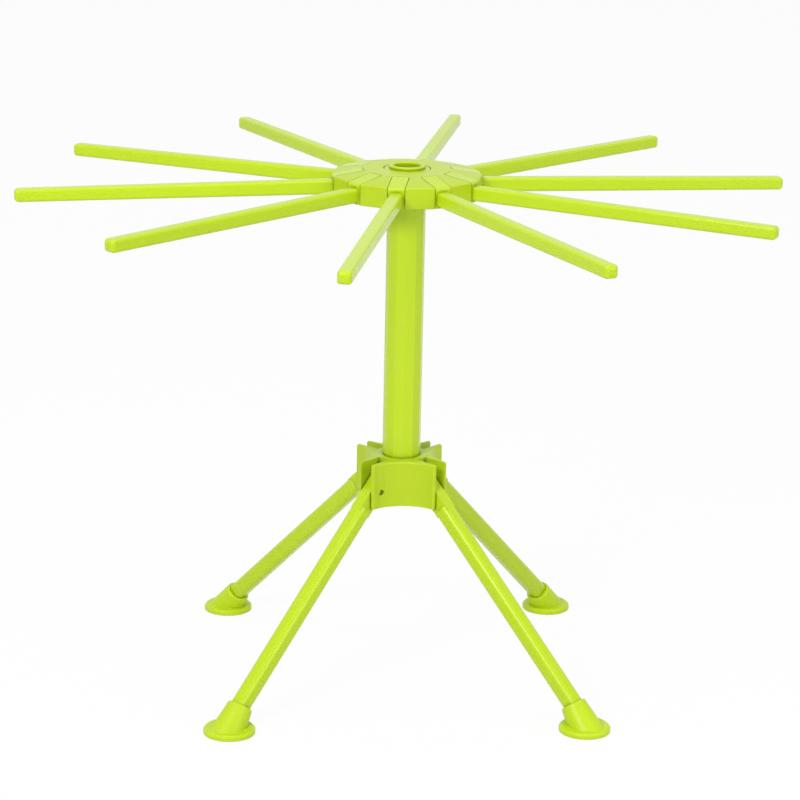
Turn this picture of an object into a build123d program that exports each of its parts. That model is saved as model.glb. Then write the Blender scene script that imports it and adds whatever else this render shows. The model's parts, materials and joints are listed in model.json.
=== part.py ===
from build123d import *
import os
from math import atan2, cos, degrees, hypot, radians, sin, sqrt

# A folding pasta drying rack: ten arms hinged in a turning hub, on a column with four hinged legs.
# Millimetres, +Z up. The origin is on the table, under the axis of the column.

# Overall sizes
arm_reach = 220.0  # axis to the tip of an arm
hub_height = 285.0  # table to the underside of the hub
foot_reach = 140.7  # axis to the centre of a foot
base_height = 105.5  # table to the underside of the base hub
arm_count = 10
leg_count = 4
first_arm_azimuth = 6.3
first_leg_azimuth = 45.0

# Clearances, shared by the whole rack
slide_gap = 0.3  # each side of an arm or leg in its slot
running_gap = 0.08  # radial, spindle in hub
pin_gap = 0.05  # radial, hinge pins, screws and plugs
stop_gap = 0.1  # between a leg and the wall that stops it
overrun = 2.0  # how far a cut runs past what it cuts
level_match = 0.01  # how near an edge lies to the level it is looked up at

# Hub body
hub_rim = 8.3  # from the arm pivots to a flat of the ten-sided hub
hub_side_height = 12.0
hub_crown = 3.0  # rise of the top, from the flats to the level middle
hub_edge_chamfer = 0.5
hub_underside_chamfer = 0.4
slot_width = 10.0
slot_web = 5.5  # plastic left between two slots at their inner ends
slot_corner_round = 1.2
slot_end_gap = 0.3

# Arm hinge
heel_length = 8.12  # from the pivot to the inner end of an arm
arm_pivot_rise = 5.5  # above the underside of the hub
arm_pin_radius = 1.5
pin_end_web = 0.86  # plastic between the end of a pin and the middle of the wedge that holds it
knuckle_radius = 6.2  # round underside of an arm below its pivot
knuckle_middle_angle = 35.0  # a place on the knuckle's curve, below level
heel_lift = 1.3  # underside of the heel, below the pivot

# Arm
head_floor_gap = 0.3  # head above the underside of the hub
head_overhang = 0.8  # from a flat of the hub to the step where the rod begins
head_top_round = 1.6
rod_width = 7.6
rod_root_height = 8.2
rod_tip_height = 7.2
rod_edge_round = 1.7
rod_tip_chamfer = 1.4
rod_root_sink = 4.0  # how far the rod runs into the head
rod_root_rise = 5.3  # centre of the rod at its root, above the underside of the hub
rod_tip_rise = 3.1

# Retainer plate, under the arm pins
plate_rim = 4.8  # from the edge of the plate to a flat of the hub
plate_thickness = 2.6
plate_gap = 0.1
plate_notch_gap = 0.3  # round the knuckle of an arm
plate_hole_gap = 0.4  # round the boss

# Screws of the retainer plate
plate_screw_inset = 4.5  # from the arm pivots
plate_screw_radius = 1.3
plate_screw_length = 8.0
plate_screw_head_radius = 2.5
plate_screw_head_height = 1.2
plate_screw_count = 5

# Spindle, washer and collar
spindle_radius = 8.2
spindle_length = 6.7
collar_overhang = 1.1  # past a flat of the column
collar_height = 3.2
collar_chamfer = 0.8
washer_inset = 0.5  # from the edge of the collar
washer_bore_gap = 0.35
washer_thickness = 0.8
boss_wall = 1.9  # round the hub's bore, past the collar
boss_relief = 1.0  # ring cut round the foot of the boss
axial_play = 0.1

# Cap on the spindle
cap_overhang = 3.3  # past the cup
cap_flange_thickness = 2.5
cap_rim_gap = 0.25
cup_overhang = 1.7  # past the spindle, so that the cup keeps the hub down
cup_wall = 2.3
cup_floor = 2.5
cup_gap = 0.35
lip_overhang = 0.35  # past the cup
lip_height = 2.0
lip_chamfer = 0.8
cup_rib_count = 4
cup_rib_width = 1.2
cup_rib_depth = 1.3
cup_rib_drop = 2.6  # top of a rib below the top of the lip
cap_edge_chamfer = 0.4

# Column
column_flat_reach = 10.6  # axis to a flat of the twelve-sided tube
column_bore_radius = 8.0
column_side_count = 12
column_edge_round = 0.9
socket_depth = 20.0
socket_gap = 0.15
plug_length = 22.0

# Centre screws
cap_screw_radius = 1.6
cap_screw_length = 16.0
cap_screw_head_radius = 3.2
cap_screw_head_height = 2.2
base_screw_radius = 2.0
base_screw_length = 18.0
base_screw_head_radius = 3.8
base_screw_head_height = 2.8
screw_recess_gap = 0.3
base_screw_recess = 3.5

# Base hub
base_hub_height = 26.5
lobe_reach = 30.3
lobe_cheek = 1.95  # each side of a leg slot
base_edge_chamfer = 0.9
lobe_corner_round = 1.5
leg_slot_width = 7.6
leg_slot_reach = 15.0  # axis to the inner wall of a leg slot

# Leg hinge
leg_pivot_reach = 24.0
leg_pivot_rise = 9.2  # above the underside of the base hub
leg_pin_radius = 1.6
leg_pin_blind = 1.5  # depth of the pin's hole in the closed cheek
leg_pin_recess = 0.3

# Leg
leg_width = 9.4
leg_depth = 10.0
leg_round = 3.2
leg_shoulder = 12.4  # pivot to the full width of the leg
leg_shoulder_chamfer = 1.0
leg_heel_chamfer = 2.0
leg_end_cut = 2.2  # leg ends this far short of the foot's centre

# Foot
foot_axis_rise = 5.0  # leg axis above the table at the foot's centre
foot_radius = 14.5
foot_flange_thickness = 3.2
foot_flange_chamfer = 1.1
sleeve_length = 12.2
sleeve_wall = 1.45  # at the rim, over the corners of the leg
sleeve_flare_share = 0.15  # growth of its radius, as a share of the way along it
sleeve_edge_chamfer = 0.6
boot_gap = 0.1

# Levels and places worked out from the sizes above
hub_edge_top = hub_height + hub_side_height
hub_top = hub_edge_top + hub_crown
arm_pivot_height = hub_height + arm_pivot_rise
half_step = radians(180 / arm_count)  # half the angle between two arms
slot_inner_reach = (slot_width + slot_web) / 2 / sin(half_step)
arm_pivot_reach = slot_inner_reach + slot_end_gap + heel_length
hub_flat_reach = arm_pivot_reach + hub_rim
crown_slope = hub_crown / (hub_flat_reach - slot_inner_reach)
arm_pin_half = (arm_pivot_reach * sin(half_step) - arm_pin_radius - pin_end_web) / cos(half_step)
head_reach = hub_flat_reach + head_overhang
hub_corner_reach = hub_flat_reach / cos(half_step)
plate_reach = hub_flat_reach - plate_rim
plate_notch_reach = arm_pivot_reach - knuckle_radius - plate_notch_gap
plate_screw_reach = arm_pivot_reach - plate_screw_inset
plate_top = arm_pivot_height - arm_pin_radius - plate_gap
plate_bottom = plate_top - plate_thickness
collar_radius = column_flat_reach + collar_overhang
collar_top = hub_height
collar_bottom = collar_top - collar_height
washer_radius = collar_radius - washer_inset
boss_radius = collar_radius + boss_wall
plate_hole_radius = boss_radius + plate_hole_gap
spindle_top = collar_top + spindle_length
shoulder_height = spindle_top - axial_play
cup_radius = spindle_radius + cup_overhang
cup_bore_radius = cup_radius - cup_wall
lip_radius = cup_radius + lip_overhang
cap_radius = cup_radius + cap_overhang
lip_top = hub_top + lip_height
lobe_half_width = leg_slot_width / 2 + lobe_cheek
base_top = base_height + base_hub_height
socket_floor = base_top - socket_depth
leg_pivot_height = base_height + leg_pivot_rise
leg_drop = leg_pivot_height - foot_axis_rise
leg_run = foot_reach - leg_pivot_reach
leg_length = hypot(leg_drop, leg_run)
leg_slope = degrees(atan2(leg_drop, leg_run))
leg_corner_reach = leg_round + hypot(leg_width / 2 - leg_round, leg_depth / 2 - leg_round)
sleeve_rim_radius = leg_corner_reach + boot_gap + sleeve_wall


def around(shape, azimuth):
    return Rot(0, 0, azimuth) * shape


def arm_azimuth(index):
    return first_arm_azimuth + 360 / arm_count * index


def leg_azimuth(index):
    return first_leg_azimuth + 360 / leg_count * index


def disc(radius, bottom, top, x=0, y=0):
    """A vertical cylinder between two levels."""
    centre = Pos(x, y, (bottom + top) / 2)
    return centre * Cylinder(radius, top - bottom)


def cross_rod(radius, left, right, x, z):
    """A cylinder along Y between two places."""
    middle = Pos(x, (left + right) / 2, z)
    return middle * Rot(90, 0, 0) * Cylinder(radius, right - left)


def block(x_range, y_range, z_range):
    """A box between two places on each axis."""
    sizes = [high - low for low, high in (x_range, y_range, z_range)]
    middle = [(high + low) / 2 for low, high in (x_range, y_range, z_range)]
    return Pos(*middle) * Box(*sizes)


def level_edges(shape, height):
    """Edges that lie at one height."""
    return shape.edges().filter_by_position(Axis.Z, height - level_match, height + level_match)


def outline_of(*points):
    """A face with corners given as (reach, height)."""
    return make_face(Polyline(*points, close=True))


def slab(face, thickness):
    """A (reach, height) face stood upright along X and given a thickness across it."""
    return extrude(Plane.XZ * face, thickness / 2, both=True)


def screw(shank_radius, shank_length, head_radius, head_height):
    """A screw with its head below the origin and its shank pointing up."""
    return disc(head_radius, -head_height, 0) + disc(shank_radius, 0, shank_length)


def base_outline():
    """Four lobes, one to a leg, joined by hollow curves that run out into the lobes' sides."""
    outline = Rectangle(2 * lobe_reach, 2 * lobe_reach)
    hollow = Circle(lobe_reach - lobe_half_width)
    for x_side in (-lobe_reach, lobe_reach):
        for y_side in (-lobe_reach, lobe_reach):
            outline -= Pos(x_side, y_side) * hollow
    return fillet(outline.vertices(), lobe_corner_round)


def base_hub():
    hub = around(Pos(0, 0, base_height) * extrude(base_outline(), base_hub_height), first_leg_azimuth)
    hub = chamfer(level_edges(hub, base_top), base_edge_chamfer)
    reach = lobe_reach + overrun - leg_slot_reach
    slot = block(
        (leg_slot_reach, leg_slot_reach + reach),
        (-leg_slot_width / 2, leg_slot_width / 2),
        (base_height - overrun, base_top + overrun),
    )
    pin_hole = leg_hinge_pin(pin_gap, lobe_half_width + overrun)
    for index in range(leg_count):
        hub -= around(slot + pin_hole, leg_azimuth(index))
    socket = RegularPolygon(column_flat_reach + socket_gap, column_side_count, major_radius=False)
    hub -= Pos(0, 0, socket_floor) * extrude(socket, socket_depth)
    hub -= disc(base_screw_radius + pin_gap, base_height, socket_floor)
    hub -= disc(
        base_screw_head_radius + screw_recess_gap, base_height - overrun, base_height + base_screw_recess
    )
    return hub


def leg_hinge_pin(gap, open_end):
    """A leg's pin, or its hole when a gap is given: open on one cheek and blind in the other."""
    closed_end = -leg_slot_width / 2 - leg_pin_blind - gap
    return cross_rod(leg_pin_radius + gap, closed_end, open_end, leg_pivot_reach, leg_pivot_height)


def leg_hinge_pins():
    pin = leg_hinge_pin(0, lobe_half_width - leg_pin_recess)
    return Compound([around(pin, leg_azimuth(index)) for index in range(leg_count)])


def along_leg(distance, side):
    """A place in the plane of a leg, given along it from the pivot and square to it."""
    angle = radians(leg_slope)
    x = leg_pivot_reach + distance * cos(angle) + side * sin(angle)
    z = leg_pivot_height - distance * sin(angle) + side * cos(angle)
    return (x, z)


def leg_plane(distance):
    """A plane across a leg, at a distance from its pivot, facing the foot."""
    x, z = along_leg(distance, 0)
    angle = radians(leg_slope)
    return Plane(origin=(x, 0, z), x_dir=(0, 1, 0), z_dir=(cos(angle), 0, -sin(angle)))


def leg_section(distance, gap):
    outline = RectangleRounded(leg_width + 2 * gap, leg_depth + 2 * gap, leg_round + gap)
    return leg_plane(distance) * outline


def leg():
    end = leg_length - leg_end_cut
    shaft = extrude(leg_section(leg_shoulder, 0), end - leg_shoulder)
    shoulder = shaft.edges().group_by(Axis((0, 0, 0), leg_plane(0).z_dir))[0]
    shaft = chamfer(shoulder, leg_shoulder_chamfer)
    stop = leg_slot_reach + stop_gap
    half = leg_depth / 2
    angle = radians(leg_slope)
    top_run = (stop - leg_pivot_reach - half * sin(angle)) / cos(angle)
    bottom_run = (stop - leg_pivot_reach + half * sin(angle)) / cos(angle)
    root = leg_shoulder + leg_round
    outline = outline_of(
        along_leg(root, half),
        along_leg(top_run, half),
        along_leg(bottom_run, -half),
        along_leg(root, -half),
    )
    outline = chamfer(outline.vertices().sort_by(Axis.Y)[-1], leg_heel_chamfer)
    tongue = slab(outline, leg_slot_width - 2 * slide_gap)
    hole = cross_rod(leg_pin_radius + pin_gap, -leg_width, leg_width, leg_pivot_reach, leg_pivot_height)
    return shaft + tongue - hole


def sleeve():
    """The boot's flared sleeve. It stands more upright than the leg, and its rim is square to its axis."""
    rim_x, rim_z = along_leg(leg_length - sleeve_length, 0)
    root_z = foot_flange_thickness / 2
    axis = Plane(origin=(rim_x, 0, rim_z), x_dir=(0, 1, 0), z_dir=(foot_reach - rim_x, 0, root_z - rim_z))
    run = 2 * sleeve_length
    root_radius = sleeve_rim_radius + sleeve_flare_share * run
    cone = Cone(sleeve_rim_radius, root_radius, run, align=(Align.CENTER, Align.CENTER, Align.MIN))
    cone = chamfer(cone.edges().filter_by(GeomType.CIRCLE).sort_by(Axis.Z)[0], sleeve_edge_chamfer)
    over_foot = block(
        (rim_x - foot_radius, foot_reach + 2 * foot_radius),
        (-foot_radius, foot_radius),
        (root_z, rim_z + 2 * foot_radius),
    )
    return axis * cone & over_foot


def foot():
    """A soft boot: a round flange under a sleeve that holds the end of the leg."""
    flange = disc(foot_radius, 0, foot_flange_thickness, foot_reach)
    flange = chamfer(level_edges(flange, foot_flange_thickness), foot_flange_chamfer)
    pocket_start = leg_length - sleeve_length - overrun
    pocket_depth = leg_length - leg_end_cut + boot_gap - pocket_start
    return flange + sleeve() - extrude(leg_section(pocket_start, boot_gap), pocket_depth)


def column_tube():
    """A twelve-sided tube with softened edges."""
    outline = RegularPolygon(column_flat_reach, column_side_count, major_radius=False)
    outline = fillet(outline.vertices(), column_edge_round)
    tube = Pos(0, 0, socket_floor) * extrude(outline, collar_bottom - socket_floor)
    return tube - disc(column_bore_radius, socket_floor - overrun, collar_bottom + overrun)


def column_plug():
    plug = disc(column_bore_radius - pin_gap, socket_floor, socket_floor + plug_length)
    return plug - disc(base_screw_radius, socket_floor - overrun, socket_floor + base_screw_length)


def base_screw():
    seat = base_height + base_screw_recess
    return Pos(0, 0, seat) * screw(
        base_screw_radius - pin_gap, base_screw_length, base_screw_head_radius, base_screw_head_height
    )


def hub_spindle():
    plug = disc(column_bore_radius - pin_gap, collar_bottom - plug_length, collar_bottom)
    collar = disc(collar_radius, collar_bottom, collar_top)
    collar = chamfer(level_edges(collar, collar_bottom), collar_chamfer)
    stem = disc(spindle_radius, collar_top, spindle_top)
    pilot = disc(cap_screw_radius, spindle_top - cap_screw_length, spindle_top + overrun)
    return plug + collar + stem - pilot


def hub_washer():
    ring = disc(washer_radius, collar_top, collar_top + washer_thickness)
    return ring - disc(spindle_radius + washer_bore_gap, hub_height - overrun, hub_height + overrun)


def column_cap():
    flange = disc(cap_radius, hub_top - cap_flange_thickness, hub_top)
    flange = chamfer(level_edges(flange, hub_top), cap_edge_chamfer)
    lip = disc(lip_radius, hub_top - cap_flange_thickness / 2, lip_top)
    lip -= disc(cup_bore_radius, hub_height, lip_top + overrun)
    lip = chamfer(level_edges(lip, lip_top), lip_chamfer)
    cup = disc(cup_radius, spindle_top, hub_top)
    bore = disc(cup_bore_radius, spindle_top + cup_floor, lip_top + overrun)
    cap = flange + cup - bore + lip
    rib_top = lip_top - cup_rib_drop
    rib = block(
        (cup_bore_radius - cup_rib_depth, cup_bore_radius + cup_rib_depth),
        (-cup_rib_width / 2, cup_rib_width / 2),
        (spindle_top + cup_floor, rib_top),
    )
    rib = chamfer(rib.edges().filter_by(Axis.Y).group_by(Axis.Z)[-1].sort_by(Axis.X)[0], cup_rib_depth / 2)
    for index in range(cup_rib_count):
        cap += around(rib, first_leg_azimuth + 360 / cup_rib_count * index)
    return cap - disc(cap_screw_radius + pin_gap, spindle_top - overrun, lip_top)


def cap_screw():
    seat = spindle_top + cup_floor
    return Pos(0, 0, seat) * Rot(180, 0, 0) * screw(
        cap_screw_radius - pin_gap, cap_screw_length, cap_screw_head_radius, cap_screw_head_height
    )


def sloping_top(reach):
    """Height of the hub's sloping top, which the head of an arm follows."""
    return hub_edge_top + crown_slope * (hub_flat_reach - reach)


def hub_blank():
    """The ten-sided hub before the slots are cut. Its top is level to their inner ends, then slopes."""
    rim = hub_corner_reach + overrun
    cone = outline_of(
        (0, hub_height),
        (rim, hub_height),
        (rim, sloping_top(rim)),
        (slot_inner_reach, hub_top),
        (0, hub_top),
    )
    cone = revolve(Plane.XZ * cone, Axis.Z)
    outline = RegularPolygon(hub_flat_reach, arm_count, major_radius=False)
    outline = around(outline, first_arm_azimuth)
    prism = Pos(0, 0, hub_height) * extrude(outline, hub_side_height + hub_crown)
    return cone & prism


def arm_slot():
    length = hub_corner_reach + overrun - slot_inner_reach
    slot = block(
        (slot_inner_reach, slot_inner_reach + length),
        (-slot_width / 2, slot_width / 2),
        (hub_height - overrun, lip_top + overrun),
    )
    return fillet(slot.edges().filter_by(Axis.Z).group_by(Axis.X)[0], slot_corner_round)


def arm_hinge_pin(gap):
    half = arm_pin_half + gap
    return cross_rod(arm_pin_radius + gap, -half, half, arm_pivot_reach, arm_pivot_height)


def arm_pin_cradle():
    """The groove that holds a pin, open below so that the pin drops in before the plate."""
    half = arm_pin_half + pin_gap
    radius = arm_pin_radius + pin_gap
    open_part = block(
        (arm_pivot_reach - radius, arm_pivot_reach + radius), (-half, half), (hub_height, arm_pivot_height)
    )
    return arm_hinge_pin(pin_gap) + open_part


def hub_body():
    hub = hub_blank()
    rim = [e for e in hub.edges() if abs(e.center().Z - hub_edge_top) < hub_crown / 2]
    hub = chamfer(rim, hub_edge_chamfer)
    hub = chamfer(level_edges(hub, hub_height), hub_underside_chamfer)
    recess = disc(plate_reach + plate_gap, hub_height - overrun, plate_top + plate_gap)
    recess -= disc(boss_radius, hub_height - overrun, plate_top + overrun)
    hub -= recess
    hub -= disc(boss_radius + boss_relief, hub_height - overrun, collar_top + washer_thickness)
    hub -= disc(spindle_radius + running_gap, hub_height - overrun, hub_top)
    hub -= disc(cup_radius + cup_gap, shoulder_height, hub_top + overrun)
    hub -= disc(cap_radius + cap_rim_gap, hub_top - cap_flange_thickness - cap_rim_gap, hub_top + overrun)
    for index in range(arm_count):
        hub -= around(arm_slot() + arm_pin_cradle(), arm_azimuth(index))
    pilot_top = plate_bottom + plate_screw_length
    pilot = disc(plate_screw_radius, plate_top - overrun, pilot_top, plate_screw_reach)
    for index in range(plate_screw_count):
        hub -= around(pilot, plate_screw_azimuth(index))
    return hub


def plate_screw_azimuth(index):
    between_arms = 360 / arm_count / 2
    return arm_azimuth(0) + between_arms + 360 / plate_screw_count * index


def hub_retainer():
    """A flat plate with a finger under each wedge of the hub, which shuts the pin cradles."""
    plate = disc(plate_reach, plate_bottom, plate_top) - disc(plate_hole_radius, plate_bottom, plate_top)
    length = plate_reach + overrun - plate_notch_reach
    notch = block(
        (plate_notch_reach, plate_notch_reach + length),
        (-slot_width / 2, slot_width / 2),
        (plate_bottom - overrun, plate_top + overrun),
    )
    for index in range(arm_count):
        plate -= around(notch, arm_azimuth(index))
    hole_radius = plate_screw_radius + pin_gap
    hole = disc(hole_radius, plate_bottom - overrun, plate_top + overrun, plate_screw_reach)
    for index in range(plate_screw_count):
        plate -= around(hole, plate_screw_azimuth(index))
    return plate


def hub_screws():
    one = Pos(plate_screw_reach, 0, plate_bottom) * screw(
        plate_screw_radius - pin_gap, plate_screw_length, plate_screw_head_radius, plate_screw_head_height
    )
    return Compound([around(one, plate_screw_azimuth(index)) for index in range(plate_screw_count)])


def arm_hinge_pins():
    pin = arm_hinge_pin(0)
    return Compound([around(pin, arm_azimuth(index)) for index in range(arm_count)])


def arm_head():
    heel = arm_pivot_reach - heel_length
    floor = hub_height + head_floor_gap
    heel_floor = arm_pivot_height - heel_lift
    floor_drop = arm_pivot_height - floor
    knuckle_start = arm_pivot_reach - sqrt(knuckle_radius**2 - heel_lift**2)
    knuckle_end = arm_pivot_reach - sqrt(knuckle_radius**2 - floor_drop**2)
    middle_angle = radians(knuckle_middle_angle)
    knuckle_middle = (
        arm_pivot_reach - knuckle_radius * cos(middle_angle),
        arm_pivot_height - knuckle_radius * sin(middle_angle),
    )
    outline = Polyline(
        (knuckle_start, heel_floor),
        (heel, heel_floor),
        (heel, sloping_top(heel)),
        (head_reach, sloping_top(head_reach)),
        (head_reach, floor),
        (knuckle_end, floor),
    )
    outline += ThreePointArc((knuckle_end, floor), knuckle_middle, (knuckle_start, heel_floor))
    head = slab(make_face(outline), slot_width - 2 * slide_gap)
    step = head.edges().filter_by(Axis.Y).group_by(Axis.X)[-1]
    head = fillet(step.sort_by(Axis.Z)[-1], head_top_round)
    heel_corners = head.edges().filter_by(Axis.Z).group_by(Axis.X)[0]
    return fillet(heel_corners, slot_corner_round)


def arm_rod():
    """The bar that the pasta hangs on: it tapers and drops a little towards its tip."""
    start = head_reach - rod_root_sink
    root_rise = hub_height + rod_root_rise
    tip_rise = hub_height + rod_tip_rise
    outline = outline_of(
        (start, root_rise - rod_root_height / 2),
        (arm_reach, tip_rise - rod_tip_height / 2),
        (arm_reach, tip_rise + rod_tip_height / 2),
        (start, root_rise + rod_root_height / 2),
    )
    outline = chamfer(outline.vertices().group_by(Axis.X)[-1], rod_tip_chamfer)
    rod = slab(outline, rod_width)
    rod = chamfer(rod.edges().filter_by(Axis.Z).group_by(Axis.X)[-1], rod_tip_chamfer)
    along = [e for e in rod.edges() if e.length > arm_reach / 2]
    return fillet(along, rod_edge_round)


def arm():
    body = arm_head() + arm_rod()
    half = slot_width
    return body - cross_rod(arm_pin_radius + pin_gap, -half, half, arm_pivot_reach, arm_pivot_height)


def write(shape, name):
    shape.label = name
    export_step(shape, f"parts/{name}.step")


os.makedirs("parts", exist_ok=True)
write(base_hub(), "base_hub")
write(leg_hinge_pins(), "leg_hinge_pins")
write(column_tube(), "column_tube")
write(column_plug(), "column_plug")
write(base_screw(), "base_screw")
write(hub_spindle(), "hub_spindle")
write(hub_washer(), "hub_washer")
write(column_cap(), "column_cap")
write(cap_screw(), "cap_screw")
write(hub_body(), "hub_body")
write(hub_retainer(), "hub_retainer")
write(hub_screws(), "hub_screws")
write(arm_hinge_pins(), "arm_hinge_pins")
one_arm = arm()
for number in range(arm_count):
    write(around(one_arm, arm_azimuth(number)), f"arm_{number + 1:02d}")
one_leg = leg()
one_foot = foot()
for number in range(leg_count):
    write(around(one_leg, leg_azimuth(number)), f"leg_{number + 1}")
    write(around(one_foot, leg_azimuth(number)), f"foot_{number + 1}")
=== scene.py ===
import json
from math import cos, hypot, pi, radians, sin

import bmesh
import bpy
from mathutils import Matrix, Vector

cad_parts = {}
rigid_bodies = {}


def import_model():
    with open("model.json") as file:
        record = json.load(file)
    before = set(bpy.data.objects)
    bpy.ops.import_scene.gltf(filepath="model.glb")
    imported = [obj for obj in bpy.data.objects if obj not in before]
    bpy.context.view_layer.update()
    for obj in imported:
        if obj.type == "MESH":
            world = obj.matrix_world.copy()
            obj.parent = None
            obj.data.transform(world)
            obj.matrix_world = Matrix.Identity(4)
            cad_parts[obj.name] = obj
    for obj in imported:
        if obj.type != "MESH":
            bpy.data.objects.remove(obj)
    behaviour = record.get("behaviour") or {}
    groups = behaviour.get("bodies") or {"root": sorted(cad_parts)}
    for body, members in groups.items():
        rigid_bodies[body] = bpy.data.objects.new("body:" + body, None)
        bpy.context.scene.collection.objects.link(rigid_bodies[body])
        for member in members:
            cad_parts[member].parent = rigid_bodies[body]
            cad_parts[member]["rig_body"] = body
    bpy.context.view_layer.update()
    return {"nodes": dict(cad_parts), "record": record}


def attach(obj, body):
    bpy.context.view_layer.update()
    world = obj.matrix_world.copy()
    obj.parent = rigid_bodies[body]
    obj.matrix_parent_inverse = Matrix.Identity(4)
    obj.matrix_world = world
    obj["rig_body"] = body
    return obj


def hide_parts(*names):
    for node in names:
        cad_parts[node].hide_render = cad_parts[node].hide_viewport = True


# A folding pasta drying rack in lime plastic, on a white table. Metres, in the frame of the CAD.
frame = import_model()
nodes = frame["nodes"]
mm = 0.001

# Camera, fitted to the arm tips, feet, legs and column of the photograph
photo_size = 800  # pixels
focal_pixels = 2851.0
camera_place = (-0.1066, -1.5764, 0.619)
object_turn = radians(-3.87)  # from the photograph's frame to the CAD's
camera_pitch = radians(16.07)  # downwards
camera_yaw = radians(-0.052)
camera_roll = radians(1.17)
sensor_width = 36.0  # mm
view_limit = 20.0

# Room
floor_half = 3.0
floor_grey = 0.78  # what the floor gives back to the object
floor_roughness = 0.7
floor_white_share = 0.93  # how much of the floor's own shading plain white hides
sky_white = 0.968  # as seen, to match the far floor
sky_zenith = 0.78
sky_horizon = 0.42

# Lamps: place, aim and size in metres, power in watts
lamps = {
    "key": ((-1.0, -1.5, 1.25), (0, 0, 0.20), (0.60, 0.50), 21),
    "fill": ((1.4, -1.4, 0.8), (0, 0, 0.2), (1.0, 0.9), 11),
    "top": ((0.15, 0.35, 1.9), (0, 0, 0.2), (1.3, 0.9), 3),
    "strip": ((0.0, -0.45, 1.65), (0, 0, 0.29), (1.3, 0.10), 5),
}

# Colours, linear
lime = (0.440, 0.600, 0.006)
boot_lime = (0.465, 0.620, 0.006)
hub_lime = (0.415, 0.552, 0.006)
cap_lime = (0.420, 0.560, 0.004)
natural_white = (0.71, 0.72, 0.68)
dust_colour = (0.46, 0.55, 0.10)
dark_steel = (0.48, 0.48, 0.49)
light_steel = (0.62, 0.62, 0.61)

# Noise: its scales below are waves to the metre, and most of its values lie in the band
noise_band = (0.3, 0.7)
smooth = 1  # how much detail it has
even = 2
rich = 3

# Skin of the moulded plastic, with heights in mm
cloud_scale = 14
cloud_shades = (0.955, 1.03)
worn_edge_highlight_scale = 45
worn_edge_highlight_band = (0.1, 0.75)  # how much the edges are worn and painted lighter as a highlight, from place to place
worn_edge_highlight_share = 0.45  # of the pale colour, on a worn edge, where it also paints a highlight
rub_polish = 0.05  # taken off the roughness of a rubbed edge
pale_shades = (1.12, 1.07)  # of red and green, where the skin is worn or scuffed, and in the painted highlight along an edge
pale_blue = 0.03
scuff_scale = 30
scuff_stretch = (0.25, 4, 4)
scuff_band = (0.62, 0.72)  # from no scuff to a whole one
scuff_share = 0.22
scuff_dulling = 0.06  # added to the roughness of a scuff
gloss_scale = 55
gloss_spread = (0.025, 0.035)  # below and above the roughness asked for
ripple_scale = 65
ripple_height = 0.03
grain_scale = 700
grain_height = 0.004
seam_height = 0.03
seam_top = 0.05  # mm from the middle of the seam
seam_foot = 0.16
plastic_index = 1.5
along_flow = (0.3, 1.6, 1.6)  # long clouds that follow a bar
upward_flow = (1.6, 1.6, 0.3)

# Narrow gaps and inner corners, whose colour is darkened as painted shade
gap_samples = 6
gap_band = (0.2, 0.85)  # share of the light that reaches a place, from shut in to open
gap_reach = 3.0  # mm
# how far, in mm, the painted shade reaches into the cap's cup
cup_reach = 10.0
gap_share = 0.92  # how far the colour goes towards its shade in the narrowest gaps
gap_shade = 0.12  # of the colour in the open

# Skin of the boots, with heights in mm
boot_cloud_scale = 25
boot_cloud_shades = (0.94, 1.04)
boot_gloss_scale = 60
boot_roughness = (0.38, 0.46)
boot_gloss_level = 0.32
boot_ripple_scale = 90
boot_ripple_height = 0.05
boot_grain_scale = 800
boot_grain_height = 0.008
dust_scale = 120
dust_share = 0.35
dust_rise = 2.2  # mm above the table
ring_spacing = 2.2
ring_height = 0.2
sole_band = (0.02, 0.05)  # mm above the table, where the rings fade out

# Glow under a skin: its share, how far each colour goes, and its depth in metres
plastic_glow = (0.10, (0.8, 1.0, 0.2), 0.0015)
boot_glow = (0.16, (0.9, 1.0, 0.2), 0.002)

# Skin of the steel, with its height in mm
steel_tone_scale = 260
steel_gloss_scale = 300
steel_gloss_stretch = (1, 1, 6)
steel_gloss_spread = (0.05, 0.1)
tool_line_scale = 1200
tool_line_stretch = (1, 1, 9)
tool_line_height = 0.006

# What the materials read from the meshes, and how the CAD's meshes are cleaned
lot_step = 1.37  # between the noises of two pieces of a kind
full_bend = radians(28)  # an edge that bends this much counts as a whole one
weld_distance = 0.002  # mm
flat_bend = radians(0.05)  # an edge that bends less is dissolved

# Sizes of the CAD that the pieces here are placed by, in mm
arm_count = 10
leg_count = 4
first_arm_azimuth = 6.3
first_leg_azimuth = 45.0
head_reach = 42.6
arm_reach = 220.0
rod_root_height = 290.3
rod_tip_height = 288.1
rod_half_width = 3.8
leg_pivot = (24.0, 114.7)
foot_place = (140.7, 5.0)
plate_screw_reach = 29.0
plate_screw_count = 5
plate_bottom = 286.3
base_screw_seat = 109.0
cap_screw_seat = 294.2

# Screws: shank radius and length, head radius and height, and pitch, in mm
plate_screw_sizes = (1.25, 8.0, 2.5, 1.2, 0.9)
base_screw_sizes = (1.95, 18.0, 3.8, 2.8, 1.4)
cap_screw_sizes = (1.55, 16.0, 3.2, 2.2, 1.2)
plain_shank = 1.0  # before the thread
screw_tip = 2.0  # after the thread
tip_share = 0.25  # of the shank's radius
thread_depth = 0.22  # at most
thread_share = 0.16  # of the shank's radius, at most
head_flat_share = 0.55  # of the head's radius
head_rim_share = 0.35  # of the head's height
head_steps = 6
rows_per_turn = 6
screw_sides = 32
first_recess_turn = 25  # degrees, for the first of the plate's screws
recess_turn_step = 40

# Cross recess, as shares of the head's height, of its radius, and of the recess's own outline
recess_depth_share = 0.62
recess_reach_share = 0.52
recess_width_share = 0.24
recess_mouth_share = 1.15
recess_floor_share = 0.45

# The round end of an arm, in mm
tip_round = 2.4
tip_steps = 5

# Rounded edges
bevel_steps = 3
least_bend = radians(32)  # edges that bend less stay as they are

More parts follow.
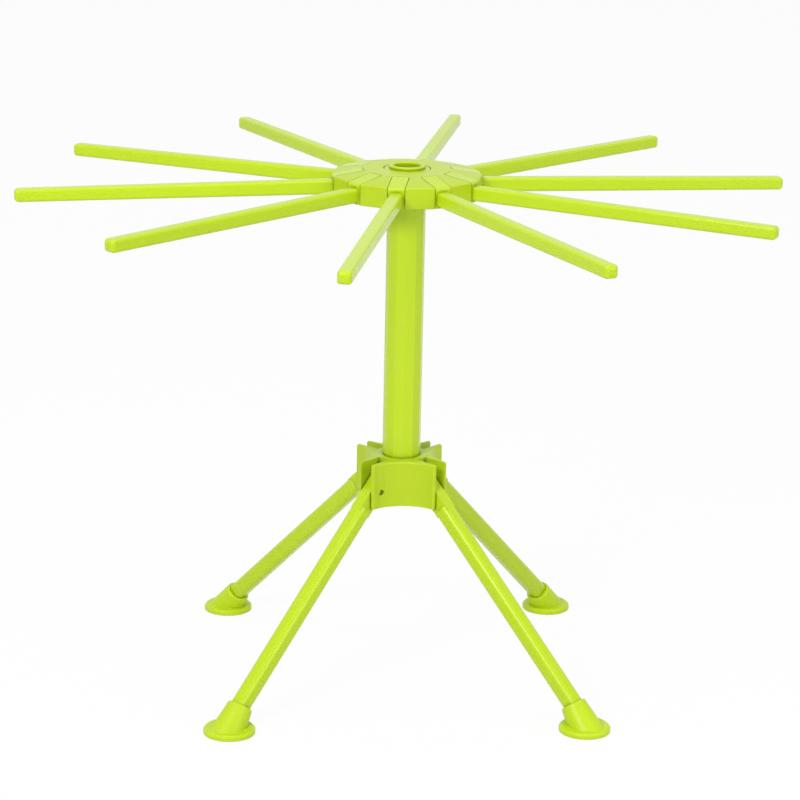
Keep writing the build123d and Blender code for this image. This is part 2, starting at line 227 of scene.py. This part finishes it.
# How much of each edge is rounded off, in mm, by node or by the stem of its name
edge_rounds = {
    "arm": 0.5,
    "leg": 0.35,
    "foot": 0.45,
    "hub_body": 0.4,
    "base_hub": 0.5,
    "column_cap": 0.4,
    "column_tube": 0.3,
    "hub_spindle": 0.25,
    "hub_retainer": 0.25,
    "hub_washer": 0.12,
    "column_plug": 0.25,
    "arm_hinge_pins": 0.2,
    "leg_hinge_pins": 0.2,
}


def camera():
    data = bpy.data.cameras.new("camera")
    data.sensor_width = sensor_width
    data.lens = focal_pixels / photo_size * sensor_width
    data.clip_end = view_limit
    data.dof.use_dof = False
    view = bpy.data.objects.new("camera", data)
    bpy.context.scene.collection.objects.link(view)
    level = cos(camera_pitch)
    heading = Vector((sin(camera_yaw) * level, cos(camera_yaw) * level, -sin(camera_pitch)))
    level_right = heading.cross(Vector((0, 0, 1))).normalized()
    level_up = level_right.cross(heading)
    right = level_right * cos(camera_roll) + level_up * sin(camera_roll)
    up = level_up * cos(camera_roll) - level_right * sin(camera_roll)
    axes = Matrix((right, up, -heading)).transposed()
    turned = Matrix.Rotation(object_turn, 3, "Z") @ axes
    view.matrix_world = Matrix.Translation(camera_place) @ turned.to_4x4()
    bpy.context.scene.camera = view


def area_light(name, place, aim, size, power):
    data = bpy.data.lights.new(name, "AREA")
    data.shape = "RECTANGLE"
    data.size, data.size_y = size
    data.energy = power
    lamp = bpy.data.objects.new(name, data)
    bpy.context.scene.collection.objects.link(lamp)
    lamp.location = place
    lamp.rotation_euler = (Vector(aim) - Vector(place)).to_track_quat("-Z", "Y").to_euler()
    lamp.visible_camera = False


def seen_directly(tree):
    """1 for rays that see the background straight, in metal or through glass, and 0 for light."""
    paths = tree.nodes.new("ShaderNodeLightPath")
    first = tree.nodes.new("ShaderNodeMath")
    first.operation = "MAXIMUM"
    tree.links.new(paths.outputs["Is Camera Ray"], first.inputs[0])
    tree.links.new(paths.outputs["Is Glossy Ray"], first.inputs[1])
    second = tree.nodes.new("ShaderNodeMath")
    second.operation = "MAXIMUM"
    tree.links.new(first.outputs["Value"], second.inputs[0])
    tree.links.new(paths.outputs["Is Transmission Ray"], second.inputs[1])
    return second.outputs["Value"]


def floor():
    """A white table that keeps a soft shadow under the object."""
    mesh = bpy.data.meshes.new("floor")
    corners = [(-floor_half, -floor_half, 0), (floor_half, -floor_half, 0),
               (floor_half, floor_half, 0), (-floor_half, floor_half, 0)]
    mesh.from_pydata(corners, [], [(0, 1, 2, 3)])
    table = bpy.data.objects.new("floor", mesh)
    bpy.context.scene.collection.objects.link(table)
    look = bpy.data.materials.new("floor_white")
    look.use_nodes = True
    look.cycles.emission_sampling = "NONE"  # its plain white is only looked at, and lights nothing
    tree = look.node_tree
    shader = tree.nodes["Principled BSDF"]
    shader.inputs["Base Color"].default_value = (floor_grey, floor_grey, floor_grey, 1)
    shader.inputs["Roughness"].default_value = floor_roughness
    shader.inputs["Specular IOR Level"].default_value = 0.0
    plain = tree.nodes.new("ShaderNodeEmission")
    share = tree.nodes.new("ShaderNodeMath")
    share.operation = "MULTIPLY"
    share.inputs[1].default_value = floor_white_share
    mix = tree.nodes.new("ShaderNodeMixShader")
    tree.links.new(seen_directly(tree), share.inputs[0])
    tree.links.new(share.outputs["Value"], mix.inputs["Fac"])
    tree.links.new(shader.outputs["BSDF"], mix.inputs[1])
    tree.links.new(plain.outputs["Emission"], mix.inputs[2])
    tree.links.new(mix.outputs["Shader"], tree.nodes["Material Output"].inputs["Surface"])
    mesh.materials.append(look)


def sky():
    """Plain white to look at, and a soft sky, brighter overhead, to light the object."""
    world = bpy.data.worlds.new("sky")
    bpy.context.scene.world = world
    world.use_nodes = True
    tree = world.node_tree
    tree.nodes.clear()
    place = tree.nodes.new("ShaderNodeTexCoord")
    split = tree.nodes.new("ShaderNodeSeparateXYZ")
    tree.links.new(place.outputs["Generated"], split.inputs["Vector"])
    rise = tree.nodes.new("ShaderNodeMapRange")
    rise.inputs["From Min"].default_value = 0.0
    rise.inputs["From Max"].default_value = 1.0
    rise.inputs["To Min"].default_value = sky_horizon
    rise.inputs["To Max"].default_value = sky_zenith
    tree.links.new(split.outputs["Z"], rise.inputs["Value"])
    light = tree.nodes.new("ShaderNodeBackground")
    light.inputs["Color"].default_value = (1, 1, 1, 1)
    tree.links.new(rise.outputs["Result"], light.inputs["Strength"])
    seen = tree.nodes.new("ShaderNodeBackground")
    seen.inputs["Color"].default_value = (sky_white, sky_white, sky_white, 1)
    mix = tree.nodes.new("ShaderNodeMixShader")
    out = tree.nodes.new("ShaderNodeOutputWorld")
    tree.links.new(seen_directly(tree), mix.inputs["Fac"])
    tree.links.new(light.outputs["Background"], mix.inputs[1])
    tree.links.new(seen.outputs["Background"], mix.inputs[2])
    tree.links.new(mix.outputs["Shader"], out.inputs["Surface"])


class Look:
    """A procedural material, built by short steps on its Principled shader.

    The pieces carry three attributes: spot is a place in the piece's own frame, lot is a number that
    differs from piece to piece, and edge is 1 on an outer edge and 0 on a face.
    """

    def __init__(self, name):
        self.material = bpy.data.materials.new(name)
        self.material.use_nodes = True
        self.tree = self.material.node_tree
        self.shader = self.tree.nodes["Principled BSDF"]
        self.spot = self.attribute("spot").outputs["Vector"]
        self.lot = self.attribute("lot").outputs["Fac"]
        self.edge = self.attribute("edge").outputs["Fac"]
        parts = self.tree.nodes.new("ShaderNodeSeparateXYZ")
        self.link(self.spot, parts.inputs["Vector"])
        self.along, self.across, self.up = (parts.outputs[axis] for axis in "XYZ")
        self.relief = None

    def attribute(self, name):
        node = self.tree.nodes.new("ShaderNodeAttribute")
        node.attribute_name = name
        return node

    def link(self, source, socket):
        self.tree.links.new(source, socket)

    def maths(self, operation, first, second=None):
        node = self.tree.nodes.new("ShaderNodeMath")
        node.operation = operation
        for socket, value in zip(node.inputs, (first, second)):
            if isinstance(value, (int, float)):
                socket.default_value = value
            elif value is not None:
                self.link(value, socket)
        return node.outputs["Value"]

    def noise(self, scale, detail=even, stretch=(1, 1, 1)):
        mapping = self.tree.nodes.new("ShaderNodeMapping")
        mapping.inputs["Scale"].default_value = stretch
        self.link(self.spot, mapping.inputs["Vector"])
        node = self.tree.nodes.new("ShaderNodeTexNoise")
        node.noise_dimensions = "4D"
        node.inputs["Scale"].default_value = scale
        node.inputs["Detail"].default_value = detail
        self.link(mapping.outputs["Vector"], node.inputs["Vector"])
        self.link(self.lot, node.inputs["W"])
        return node.outputs[0]

    def ramp(self, source, low, high, band=noise_band):
        """A value that goes from low to high while the source goes through the band."""
        node = self.tree.nodes.new("ShaderNodeMapRange")
        node.inputs["From Min"].default_value, node.inputs["From Max"].default_value = band
        node.inputs["To Min"].default_value = low
        node.inputs["To Max"].default_value = high
        self.link(source, node.inputs["Value"])
        return node.outputs["Result"]

    def blended(self, share, first, second):
        """A colour between two, each a colour or a socket."""
        node = self.tree.nodes.new("ShaderNodeMix")
        node.data_type = "RGBA"
        colours = [socket for socket in node.inputs if socket.type == "RGBA"]
        for socket, value in zip(colours, (first, second)):
            if isinstance(value, tuple):
                socket.default_value = value
            else:
                self.link(value, socket)
        self.link(share, node.inputs[0])
        return next(socket for socket in node.outputs if socket.type == "RGBA")

    def colour(self, source):
        self.link(source, self.shader.inputs["Base Color"])

    def crevices(self, reach):
        """1 in narrow gaps and inner corners, 0 in the open."""
        node = self.tree.nodes.new("ShaderNodeAmbientOcclusion")
        node.samples = gap_samples
        node.inputs["Distance"].default_value = reach
        return self.ramp(node.outputs["AO"], 1, 0, gap_band)

    def roughness(self, source):
        self.link(source, self.shader.inputs["Roughness"])

    def bump(self, source, height):
        """Adds relief, with a height in mm, to what is there already."""
        node = self.tree.nodes.new("ShaderNodeBump")
        node.inputs["Distance"].default_value = height * mm
        self.link(source, node.inputs["Height"])
        if self.relief:
            self.link(self.relief, node.inputs["Normal"])
        self.relief = node.outputs["Normal"]
        self.link(self.relief, self.shader.inputs["Normal"])

    def set(self, name, value):
        self.shader.inputs[name].default_value = value

    def glow(self, share, colours, depth):
        self.set("Subsurface Weight", share)
        self.set("Subsurface Radius", colours)
        self.set("Subsurface Scale", depth)


def scaled(colour, share=1.0):
    return (colour[0] * share, colour[1] * share, colour[2] * share, 1)


def parting_line(look):
    """A fine raised line round a piece at half its height, where the two halves of its mould met."""
    off_line = look.maths("ABSOLUTE", look.up)
    return look.ramp(off_line, 1, 0, (seam_top * mm, seam_foot * mm))


def plastic(name, colour, roughness, gloss_level, flow=(1, 1, 1), seam=False, reach=gap_reach):
    """Moulded plastic: cloudy colour, a faint skin, outer edges a little lighter from wear and as a
    painted highlight, a few scuffs, and painted shade in narrow gaps.
    """
    look = Look(name)
    clouds = look.ramp(look.noise(cloud_scale, rich, flow), 0, 1)
    dark_shade, light_shade = cloud_shades
    body = look.blended(clouds, scaled(colour, dark_shade), scaled(colour, light_shade))
    # Outer edges are painted lighter: partly wear, partly a painted highlight along each edge.
    worn_and_highlit_edge = look.maths("MULTIPLY", look.edge, look.ramp(look.noise(worn_edge_highlight_scale), *worn_edge_highlight_band))
    pale = (colour[0] * pale_shades[0], colour[1] * pale_shades[1], colour[2] + pale_blue, 1)
    body = look.blended(look.maths("MULTIPLY", worn_and_highlit_edge, worn_edge_highlight_share), body, pale)
    scuffs = look.ramp(look.noise(scuff_scale, rich, scuff_stretch), 0, 1, scuff_band)
    body = look.blended(look.maths("MULTIPLY", scuffs, scuff_share), body, pale)
    # Painted shade: narrow gaps and inner corners get a darker colour where less light reaches them.
    painted_gap_shade = look.maths("MULTIPLY", look.crevices(reach * mm), gap_share)
    look.colour(look.blended(painted_gap_shade, body, scaled(colour, gap_shade)))
    below, above = gloss_spread
    gloss = look.ramp(look.noise(gloss_scale), roughness - below, roughness + above)
    gloss = look.maths("ADD", gloss, look.maths("MULTIPLY", scuffs, scuff_dulling))
    look.roughness(look.maths("SUBTRACT", gloss, look.maths("MULTIPLY", worn_and_highlit_edge, rub_polish)))
    look.bump(look.noise(ripple_scale, smooth, flow), ripple_height)
    look.bump(look.noise(grain_scale, smooth), grain_height)
    if seam:
        look.bump(parting_line(look), seam_height)
    look.set("IOR", plastic_index)
    look.set("Specular IOR Level", gloss_level)
    look.glow(*plastic_glow)
    return look.material


def rubbery(name, colour):
    """Soft rubber: a duller skin than the plastic's, finely pebbled, with dust in places."""
    look = Look(name)
    clouds = look.ramp(look.noise(boot_cloud_scale, rich), 0, 1)
    dark_shade, light_shade = boot_cloud_shades
    body = look.blended(clouds, scaled(colour, dark_shade), scaled(colour, light_shade))
    low = look.ramp(look.up, 1, 0, (0, dust_rise * mm))
    dust = look.maths("MULTIPLY", low, look.ramp(look.noise(dust_scale, rich), 0, dust_share))
    look.colour(look.blended(dust, body, scaled(dust_colour)))
    look.roughness(look.ramp(look.noise(boot_gloss_scale), *boot_roughness))
    look.bump(look.noise(boot_ripple_scale), boot_ripple_height)
    look.bump(look.noise(boot_grain_scale, smooth), boot_grain_height)
    along_square = look.maths("MULTIPLY", look.along, look.along)
    across_square = look.maths("MULTIPLY", look.across, look.across)
    from_middle = look.maths("SQRT", look.maths("ADD", along_square, across_square))
    rings = look.maths("SINE", look.maths("MULTIPLY", from_middle, 2 * pi / (ring_spacing * mm)))
    sole = look.ramp(look.up, 1, 0, [height * mm for height in sole_band])
    look.bump(look.maths("MULTIPLY", rings, sole), ring_height)
    look.set("Specular IOR Level", boot_gloss_level)
    look.glow(*boot_glow)
    return look.material


def steel(name, roughness):
    """Turned and plated steel, with fine tool lines round its axis and a few dull spots."""
    look = Look(name)
    tone = look.ramp(look.noise(steel_tone_scale, rich), 0, 1)
    look.colour(look.blended(tone, scaled(dark_steel), scaled(light_steel)))
    look.set("Metallic", 1.0)
    below, above = steel_gloss_spread
    spots = look.noise(steel_gloss_scale, rich, steel_gloss_stretch)
    look.roughness(look.ramp(spots, roughness - below, roughness + above))
    look.bump(look.noise(tool_line_scale, even, tool_line_stretch), tool_line_height)
    return look.material


# The numbers are the roughness and, for plastic, the level of its gloss.
looks = {
    "arm_plastic": plastic("arm_plastic", lime, 0.24, 0.32, along_flow, True),
    "leg_plastic": plastic("leg_plastic", lime, 0.25, 0.32, along_flow, True),
    "hub_plastic": plastic("hub_plastic", hub_lime, 0.34, 0.30),
    "cap_plastic": plastic("cap_plastic", cap_lime, 0.24, 0.28, reach=cup_reach),
    "column_plastic": plastic("column_plastic", lime, 0.22, 0.34, upward_flow),
    "boot_rubber": rubbery("boot_rubber", boot_lime),
    "washer_plastic": plastic("washer_plastic", natural_white, 0.45, 0.3),
    "pin_steel": steel("pin_steel", 0.26),
    "screw_steel": steel("screw_steel", 0.30),
}


def finish_of(node):
    """The record's material slot of a CAD node."""
    for part in frame["record"]["subparts"]:
        if part["node"] == node:
            return part["material_slot"]


def stem_of(node):
    return node.rstrip("0123456789_")


def place_on(node):
    """A node's number, its turn about the axis in degrees, and its own frame as a function.

    The function takes a place that has been turned back by that angle.
    """
    number = int(node[-2:].strip("_")) if node[-1].isdigit() else 0
    stem = stem_of(node)
    if stem == "arm":
        azimuth = first_arm_azimuth + 360 / arm_count * (number - 1)
        fall = (rod_root_height - rod_tip_height) / (arm_reach - head_reach)

        def spot(x, y, z):
            return (x, y, z - (rod_root_height - fall * (x / mm - head_reach)) * mm)
    elif stem == "leg":
        azimuth = first_leg_azimuth + 360 / leg_count * (number - 1)
        run, drop = foot_place[0] - leg_pivot[0], leg_pivot[1] - foot_place[1]
        level, steep = run / hypot(run, drop), drop / hypot(run, drop)

        def spot(x, y, z):
            out, down = x - leg_pivot[0] * mm, leg_pivot[1] * mm - z
            return (out * level + down * steep, y, out * steep - down * level)
    elif stem == "foot":
        azimuth = first_leg_azimuth + 360 / leg_count * (number - 1)

        def spot(x, y, z):
            return (x - foot_place[0] * mm, y, z)
    else:
        azimuth = 0.0

        def spot(x, y, z):
            return (x, y, z)
    return number, azimuth, spot


def mark(mesh, node):
    """Gives a mesh the attributes that the materials read."""
    number, azimuth, spot = place_on(node)
    turn = radians(azimuth)
    spots = mesh.attributes.new("spot", "FLOAT_VECTOR", "POINT")
    for vertex, entry in zip(mesh.vertices, spots.data):
        x, y, z = vertex.co
        entry.vector = spot(x * cos(turn) + y * sin(turn), y * cos(turn) - x * sin(turn), z)
    lots = mesh.attributes.new("lot", "FLOAT", "POINT")
    lots.data.foreach_set("value", [number * lot_step] * len(mesh.vertices))
    form = bmesh.new()
    form.from_mesh(mesh)
    form.verts.ensure_lookup_table()
    edges = []
    for vertex in form.verts:
        bend = 0.0
        for edge in vertex.link_edges:
            if len(edge.link_faces) == 2:
                bend = max(bend, edge.calc_face_angle_signed())
        edges.append(min(1.0, bend / full_bend))
    form.free()
    values = mesh.attributes.new("edge", "FLOAT", "POINT")
    values.data.foreach_set("value", edges)


def tidied(mesh):
    """Joins a CAD mesh's triangles into whole flat faces."""
    form = bmesh.new()
    form.from_mesh(mesh)
    bmesh.ops.remove_doubles(form, verts=form.verts, dist=weld_distance * mm)
    bmesh.ops.dissolve_limit(form, angle_limit=flat_bend, verts=form.verts, edges=form.edges)
    form.to_mesh(mesh)
    form.free()


def boundary_loop(form):
    """The vertices round the only hole of a mesh, in order."""
    edges = [edge for edge in form.edges if edge.is_boundary]
    loop = [edges[0].verts[0], edges[0].verts[1]]
    last = edges[0]
    while loop[-1] is not loop[0]:
        last = next(edge for edge in loop[-1].link_edges if edge.is_boundary and edge is not last)
        loop.append(last.other_vert(loop[-1]))
    return loop[:-1]


def round_tip(mesh, azimuth):
    """Cuts off the chamfered end of an arm and closes it with a round one."""
    outward = Matrix.Rotation(radians(azimuth), 3, "Z") @ Vector((1, 0, 0))
    form = bmesh.new()
    form.from_mesh(mesh)
    everything = form.verts[:] + form.edges[:] + form.faces[:]
    start = outward * ((arm_reach - tip_round) * mm)
    bmesh.ops.bisect_plane(form, geom=everything, plane_co=start, plane_no=outward, clear_outer=True)
    row = boundary_loop(form)
    section = [vertex.co.copy() for vertex in row]
    high = max(place.z for place in section)
    low = min(place.z for place in section)
    centre = start + Vector((0, 0, (high + low) / 2))
    for step in range(1, tip_steps + 1):
        turn = pi / 2 * step / tip_steps
        share = 1 - tip_round / rod_half_width * (1 - cos(turn))
        shift = outward * (tip_round * mm * sin(turn))
        after = [form.verts.new(centre + (place - centre) * share + shift) for place in section]
        for index in range(len(row)):
            beside = (index + 1) % len(row)
            form.faces.new((row[index], row[beside], after[beside], after[index]))
        row = after
    form.faces.new(row)
    bmesh.ops.recalc_face_normals(form, faces=form.faces)
    form.to_mesh(mesh)
    form.free()


def applied(obj):
    """Its mesh with the modifiers' result, and the object itself gone."""
    bpy.context.view_layer.update()
    evaluated = obj.evaluated_get(bpy.context.evaluated_depsgraph_get())
    mesh = bpy.data.meshes.new_from_object(evaluated)
    bpy.data.objects.remove(obj)
    return mesh


def new_object(name, mesh):
    obj = bpy.data.objects.new(name, mesh)
    bpy.context.scene.collection.objects.link(obj)
    return obj


def finished(name, mesh, node):
    """Adds a piece that stands for a CAD node, with its finish and smooth shading, on its body."""
    mark(mesh, node)
    mesh.materials.clear()
    mesh.materials.append(looks[finish_of(node)])
    mesh.shade_smooth()
    piece = new_object(name, mesh)
    normals = piece.modifiers.new("even normals", "WEIGHTED_NORMAL")
    normals.keep_sharp = False
    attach(piece, nodes[node]["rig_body"])
    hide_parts(node)


def rounded(node, width):
    """Adds a copy of a CAD node with its edges rounded."""
    mesh = nodes[node].data.copy()
    tidied(mesh)
    if stem_of(node) == "arm":
        round_tip(mesh, place_on(node)[1])
    source = new_object("rounding", mesh)
    bevel = source.modifiers.new("rounded edges", "BEVEL")
    bevel.width = width
    bevel.segments = bevel_steps
    bevel.limit_method = "ANGLE"
    bevel.angle_limit = least_bend
    bevel.use_clamp_overlap = True
    finished("soft_" + node, applied(source), node)


def lathe(profile, sides, shift):
    """A closed turned mesh. The profile runs from the axis to the axis as (radius, height).

    The shift says how far each place moves inwards, by its angle and height.
    """
    form = bmesh.new()
    first = form.verts.new((0, 0, profile[0][1]))
    last = form.verts.new((0, 0, profile[-1][1]))
    rows = []
    for radius, height in profile[1:-1]:
        row = []
        for index in range(sides):
            angle = 2 * pi * index / sides
            reach = radius - shift(angle, height)
            row.append(form.verts.new((reach * cos(angle), reach * sin(angle), height)))
        rows.append(row)
    for index in range(sides):
        after = (index + 1) % sides
        form.faces.new((first, rows[0][after], rows[0][index]))
        form.faces.new((last, rows[-1][index], rows[-1][after]))
        for upper, lower in zip(rows, rows[1:]):
            form.faces.new((upper[index], upper[after], lower[after], lower[index]))
    bmesh.ops.recalc_face_normals(form, faces=form.faces)
    mesh = bpy.data.meshes.new("turned")
    form.to_mesh(mesh)
    form.free()
    return mesh


def cross_cutter(reach, width, top, depth):
    """A tapered cross that cuts the recess into a screw head whose face is at the top level."""
    form = bmesh.new()
    corners = []
    half = width / 2
    for index in range(4):
        turn = Matrix.Rotation(pi / 2 * index, 3, "Z")
        for x, y in ((half, -half), (reach, -half), (reach, half)):
            corners.append(turn @ Vector((x, y, 0)))
    over = depth / 2
    rings = []
    levels = ((top - over, recess_mouth_share), (top, 1.0), (top + depth, recess_floor_share))
    for level, share in levels:
        rings.append([form.verts.new((c.x * share, c.y * share, level)) for c in corners])
    count = len(corners)
    for upper, lower in zip(rings, rings[1:]):
        for index in range(count):
            after = (index + 1) % count
            form.faces.new((upper[index], upper[after], lower[after], lower[index]))
    form.faces.new(rings[0])
    form.faces.new(rings[-1])
    bmesh.ops.recalc_face_normals(form, faces=form.faces)
    mesh = bpy.data.meshes.new("cutter")
    form.to_mesh(mesh)
    form.free()
    return mesh


def screw_mesh(sizes):
    """A pan-head screw with a cross recess and a thread. Its head is below z = 0, its shank above."""
    shank_radius, shank_length, head_radius, head_height, pitch = (size * mm for size in sizes)
    profile = [(0, -head_height), (head_radius * head_flat_share, -head_height)]
    for step in range(1, head_steps + 1):
        turn = pi / 2 * step / head_steps
        radius = head_radius * (head_flat_share + (1 - head_flat_share) * sin(turn))
        profile.append((radius, -head_height * (head_rim_share + (1 - head_rim_share) * cos(turn))))
    thread_start = plain_shank * mm
    thread_end = shank_length - screw_tip * mm
    profile += [(head_radius, 0), (shank_radius, 0)]
    rows = round((thread_end - thread_start) / pitch * rows_per_turn)
    for row in range(rows + 1):
        profile.append((shank_radius, thread_start + (thread_end - thread_start) * row / rows))
    profile += [(shank_radius * tip_share, shank_length), (0, shank_length)]
    depth = min(thread_depth * mm, shank_radius * thread_share)

    def thread(angle, height):
        if height < thread_start or height > thread_end:
            return 0
        phase = (height / pitch - angle / (2 * pi)) % 1
        return depth * abs(2 * phase - 1)

    source = new_object("screw", lathe(profile, screw_sides, thread))
    recess = cross_cutter(
        head_radius * recess_reach_share,
        head_radius * recess_width_share,
        -head_height,
        head_height * recess_depth_share,
    )
    cutter = new_object("cutter", recess)
    cut = source.modifiers.new("recess", "BOOLEAN")
    cut.operation = "DIFFERENCE"
    cut.solver = "EXACT"
    cut.object = cutter
    mesh = applied(source)
    bpy.data.objects.remove(cutter)
    return mesh


def joined(mesh, places):
    """One mesh with a copy of another at each place."""
    form = bmesh.new()
    for place in places:
        copy = mesh.copy()
        copy.transform(place)
        form.from_mesh(copy)
    whole = bpy.data.meshes.new("joined")
    form.to_mesh(whole)
    form.free()
    return whole


def screws():
    """The plate's five screws as one piece, and the screws of the base and the cap."""
    places = []
    for index in range(plate_screw_count):
        azimuth = first_arm_azimuth + 180 / arm_count + 360 / plate_screw_count * index
        turn = Matrix.Rotation(radians(azimuth), 4, "Z")
        own_turn = Matrix.Rotation(radians(first_recess_turn + recess_turn_step * index), 4, "Z")
        seat = Matrix.Translation((plate_screw_reach * mm, 0, plate_bottom * mm))
        places.append(turn @ seat @ own_turn)
    finished("screws_plate", joined(screw_mesh(plate_screw_sizes), places), "hub_screws")
    seat = Matrix.Translation((0, 0, base_screw_seat * mm))
    finished("screw_base", joined(screw_mesh(base_screw_sizes), [seat]), "base_screw")
    seat = Matrix.Translation((0, 0, cap_screw_seat * mm)) @ Matrix.Rotation(pi, 4, "X")
    finished("screw_cap", joined(screw_mesh(cap_screw_sizes), [seat]), "cap_screw")


camera()
floor()
sky()
for name, (place, aim, size, power) in lamps.items():
    area_light(name, place, aim, size, power)
for node in nodes:
    width = edge_rounds.get(node) or edge_rounds.get(stem_of(node))
    if width:
        rounded(node, width * mm)
screws()

bpy.context.scene.view_settings.view_transform = "Standard"
